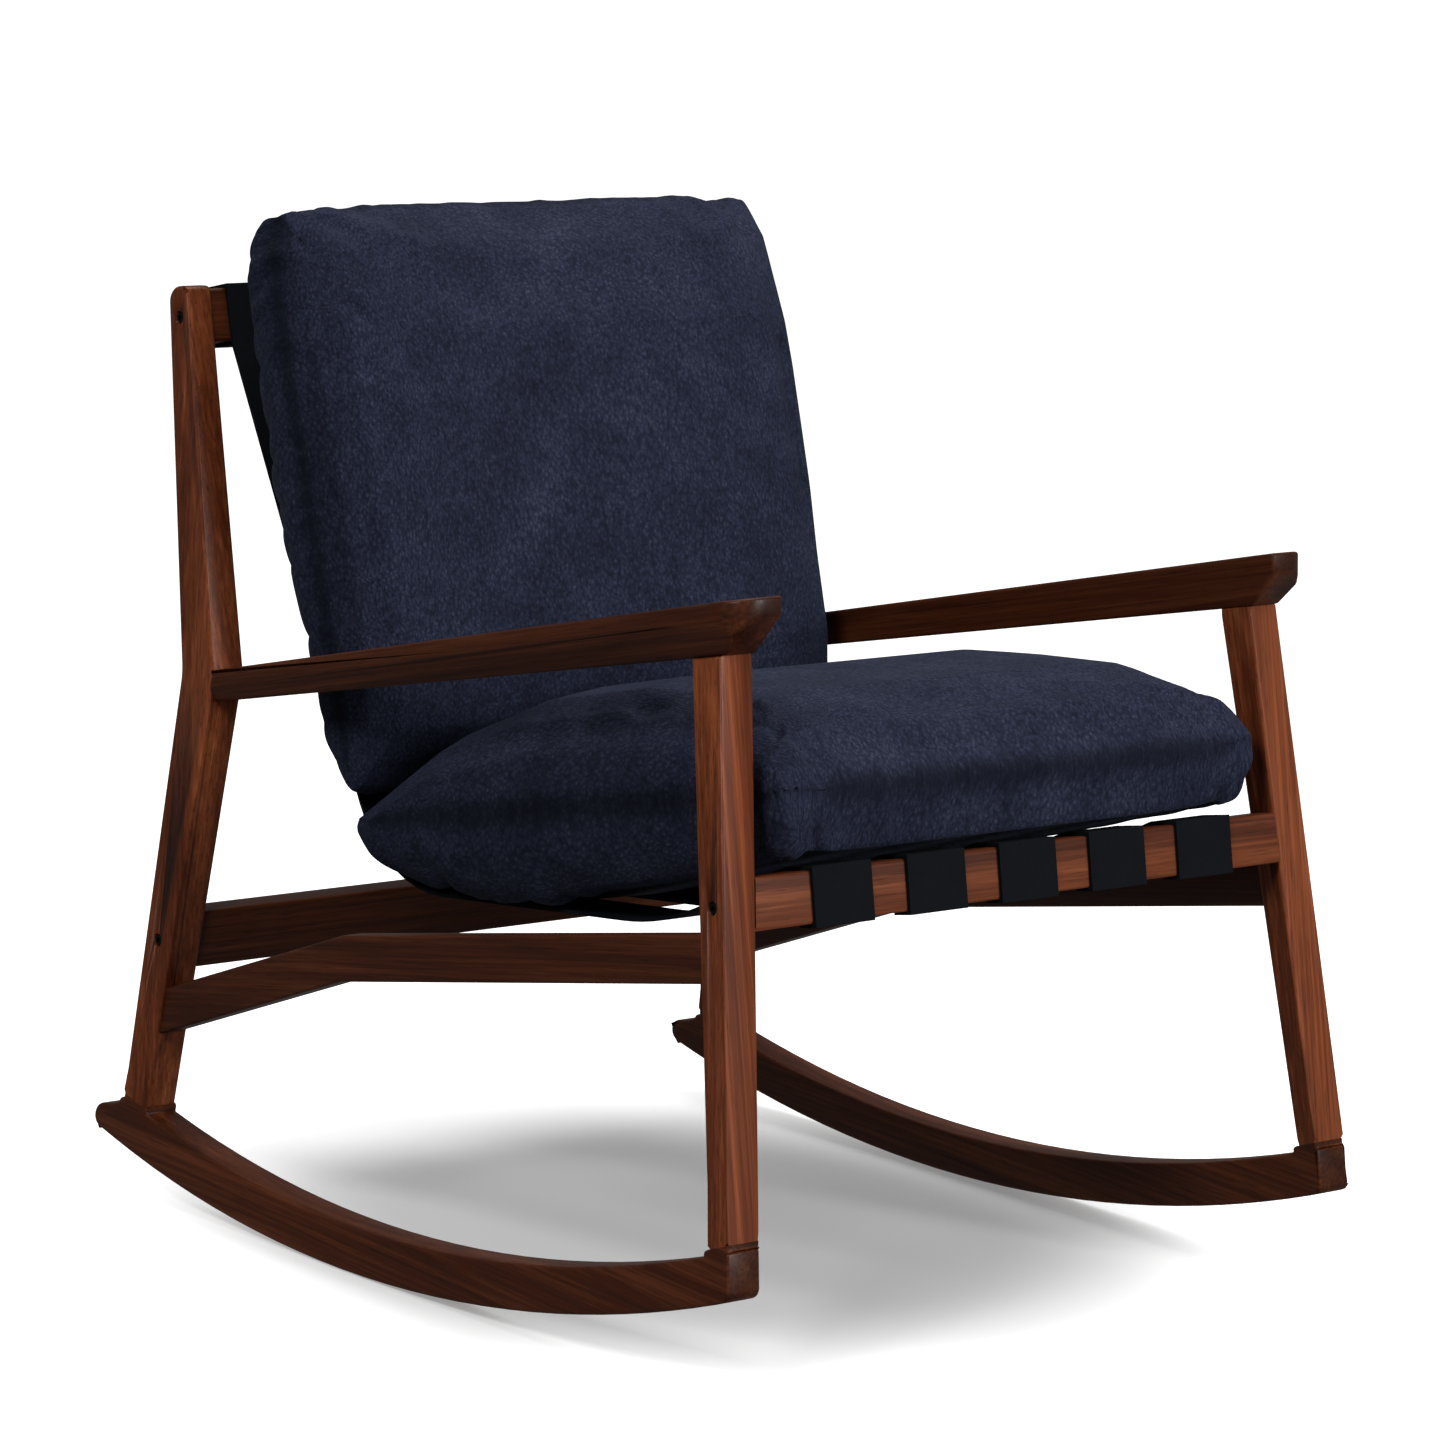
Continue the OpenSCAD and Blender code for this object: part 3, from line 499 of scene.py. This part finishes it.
def panel_pair(name, skin, half_width, half_length, lie, free_end, nip):
    """Two sewn panels in the plane that lie places, bulged apart nearly to the skin."""
    reach, cells, crowding, pucker = 0.3, 110, 1.5, 0.004
    panels = []
    for way in (1, -1):
        bpy.ops.object.select_all(action="DESELECT")
        bpy.ops.mesh.primitive_grid_add(x_subdivisions=cells, y_subdivisions=cells, size=2)
        panel = bpy.context.object
        panel.data.uv_layers[0].name = "cut"
        rim = panel.data.attributes.new("rim", "FLOAT", "POINT")
        turn = panel.data.attributes.new("turn", "FLOAT", "POINT")
        inward = lie.to_3x3() @ Vector((0, 0, -way))
        for vertex in panel.data.vertices:
            across, along = vertex.co.x, vertex.co.y
            outward = max(abs(across), abs(along))
            rim.data[vertex.index].value = outward
            turn.data[vertex.index].value = math.atan2(along, across)
            s = math.copysign(1 - (1 - abs(across)) ** crowding, across)
            t = math.copysign(1 - (1 - abs(along)) ** crowding, along)
            wobble = 1 + pucker * noise.noise((17 * s, 17 * t, half_length * 30))
            cut = nip if along * free_end > 0 else nip / 4
            x = wobble * s * half_width * (1 - cut * abs(t) ** 7 - 0.005 * (1 - t * t) * abs(s) ** 4)
            y = wobble * t * half_length * (1 - cut * abs(s) ** 7 - 0.006 * (1 - s * s) * abs(t) ** 4)
            start = lie @ Vector((x, y, way * reach))
            depth = None if outward > at_seam else skin.ray_cast(start, inward, reach)[3]
            if depth is None:
                depth = reach
            else:
                depth -= swelling_room * (1 - (x / half_width) ** 16)
            vertex.co = start + inward * depth
        if way < 0:
            bpy.ops.object.mode_set(mode="EDIT")
            bpy.ops.mesh.select_all(action="SELECT")
            bpy.ops.mesh.flip_normals()
            bpy.ops.object.mode_set(mode="OBJECT")
        panels.append(panel)
    for panel in panels:
        panel.select_set(True)
    bpy.ops.object.join()
    cushion = bpy.context.object
    cushion.name = name
    bpy.ops.object.mode_set(mode="EDIT")
    bpy.ops.mesh.select_all(action="SELECT")
    bpy.ops.mesh.remove_doubles(threshold=0.0002)
    bpy.ops.mesh.normals_make_consistent(inside=False)
    bpy.ops.mesh.select_all(action="DESELECT")
    bpy.ops.object.mode_set(mode="OBJECT")
    rims = cushion.data.attributes["rim"].data
    for vertex in cushion.data.vertices:
        vertex.select = rims[vertex.index].value < at_seam
    bpy.ops.object.mode_set(mode="EDIT")
    bpy.ops.mesh.vertices_smooth(factor=0.5, repeat=5)
    bpy.ops.object.mode_set(mode="OBJECT")
    return cushion


most_swelling = 0.009


def stuff(cushion, most):
    """Blows the cushion up as cloth, and lets no point move further than most."""
    start = [vertex.co.copy() for vertex in cushion.data.vertices]
    bpy.ops.object.modifier_add(type="CLOTH")
    cloth = cushion.modifiers["Cloth"].settings
    seam = cushion.vertex_groups.new(name="seam")
    rims = cushion.data.attributes["rim"].data
    seam.add([v.index for v in cushion.data.vertices if rims[v.index].value > at_seam], 1, "REPLACE")
    cloth.vertex_group_mass = "seam"
    cloth.quality = 6
    cloth.mass = 0.35
    cloth.tension_stiffness = 25
    cloth.compression_stiffness = 25
    cloth.bending_stiffness = 0.6
    cloth.shrink_min = -0.02
    cloth.use_pressure = True
    cloth.uniform_pressure_force = 4
    cloth.effector_weights.gravity = 0
    for step in range(1, 21):
        scene.frame_set(step)
    bpy.ops.object.modifier_apply(modifier="Cloth")
    scene.frame_set(1)
    for vertex, was in zip(cushion.data.vertices, start):
        move = vertex.co - was
        if move.length > most:
            vertex.co = was + move.normalized() * most


sling_edge = 0.228          # half the width that the sling holds up
droop = 0.014               # how far a cushion hangs down past that


def share(value):
    return max(0, min(1, value))


def past_sling(vertex):
    """0 over the sling, and 1 from a finger's width beyond its edge."""
    return share((abs(vertex.co.x) - sling_edge) / 0.012)


def gather(cushion):
    """Small folds that run in from the seam, deepest round the corners."""
    rims = [point.value for point in cushion.data.attributes["rim"].data]
    turns = [point.value for point in cushion.data.attributes["turn"].data]
    normals = [vertex.normal.copy() for vertex in cushion.data.vertices]
    for vertex, rim, turn, normal in zip(cushion.data.vertices, rims, turns, normals):
        corner = (abs(math.sin(2 * turn)) ** 8) * min(1, rim ** 2)
        near_seam = share((rim - 0.80) / 0.14)
        fold = noise.noise(Vector((math.cos(turn), math.sin(turn), 0)) * 17)
        depth = (0.0014 + 0.0036 * corner) * near_seam ** 2 * fold
        soft = 0.0035 * noise.noise(vertex.co * 6.5) * (1 - near_seam)
        vertex.co += normal * (depth + soft + droop * past_sling(vertex) * (1 - rim ** 20))


def hold(cushion, skin, lie, half_length, free_end):
    """Keeps the cloth off the sling and off the other cushion: near the CAD skin.

    It may stand a little proud on the crowned side towards its free end, and on the
    sling's side only where it hangs past the sling.
    """
    level = lie.inverted()
    for vertex in cushion.data.vertices:
        spot = level @ vertex.co
        above = 0.005 * share(0.5 + 1.5 * free_end * spot.y / half_length)
        below = droop * past_sling(vertex) * share(-spot.z / 0.03)
        proud = above + (below - above) * share(0.5 - spot.z / 0.02)
        near, normal, _, away = skin.find_nearest(vertex.co)
        if (vertex.co - near).dot(normal) > 0 and away > proud:
            vertex.co = near + (vertex.co - near).normalized() * proud


bag_share = 0.94            # of its cover's size
bag_room = 0.004            # between the bag and its cover, where the cover is thick enough


def filling(cushion, node, body, middle):
    """Loose white fibre in a thin inner bag, a little smaller than its cover."""
    bpy.ops.object.select_all(action="DESELECT")
    cushion.select_set(True)
    bpy.context.view_layer.objects.active = cushion
    bpy.ops.object.duplicate()
    bag = bpy.context.object
    bag.name = body + "_filling"
    bpy.ops.object.mode_set(mode="EDIT")
    bpy.ops.mesh.select_all(action="SELECT")
    bpy.ops.transform.resize(value=(bag_share, bag_share, bag_share), center_override=middle)
    bpy.ops.object.mode_set(mode="OBJECT")
    cover = skin_tree(cushion.data)
    for vertex in bag.data.vertices:
        near, normal, _, away = cover.find_nearest(vertex.co)
        if (vertex.co - near).dot(normal) > 0 or away < bag_room:
            room = cover.ray_cast(near - normal * 0.0003, -normal)[3] or 0
            vertex.co = near - normal * min(bag_room, room / 2)
    bpy.ops.object.shade_smooth()
    finish = Finish(body + "_fibre", Specular_IOR_Level=0.1)
    tuft = finish.cloud(finish.place(), 45, 5, 0.65, 0.6)
    finish.feed(
        Base_Color=finish.ramp(tuft, (0.3, (0.62, 0.60, 0.55)), (0.7, (0.80, 0.79, 0.76))),
        Roughness=0.85 + tuft * 0.12,
        Normal=finish.bump(tuft, 0.004, 0.6))
    bag.data.materials.append(finish.material)
    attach(bag, body)
    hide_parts(node)


def seam_plane(middle, tip):
    """The seam's plane: X across, Y along the cushion, Z on the crowned side."""
    return Matrix.Translation(middle) @ Matrix.Rotation(math.radians(tip), 4, "X")


def loose_cushion(body, half_width, half_length, middle, tip, free_end, nip):
    """One cushion. The free end's corners are cut in by nip, the other end's by a quarter."""
    skin = outer_skin(body + "_cover")
    lie = seam_plane(middle, tip)
    cushion = panel_pair(body, skin, half_width, half_length, lie, free_end, nip)
    stuff(cushion, most_swelling)
    gather(cushion)
    hold(cushion, skin, lie, half_length, free_end)
    filling(cushion, body + "_insert", body, middle)
    bpy.ops.object.select_all(action="DESELECT")
    cushion.select_set(True)
    bpy.context.view_layer.objects.active = cushion
    bpy.ops.object.modifier_add(type="SUBSURF")
    bpy.ops.object.modifier_apply(modifier=cushion.modifiers[0].name)
    bpy.ops.object.shade_smooth()
    cushion.data.materials.append(chenille(body + "_chenille"))
    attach(cushion, body)
    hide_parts(body + "_cover")


loose_cushion("seat_cushion", 0.266, 0.267, (0, -0.0906, 0.3955), -12.6, -1, 0.018)
loose_cushion("back_cushion", 0.266, 0.247, (0, 0.2363, 0.5933), 72.2, 1, 0.050)


size = {"cad": cad_box, "visual": [list(corner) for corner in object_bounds()]}
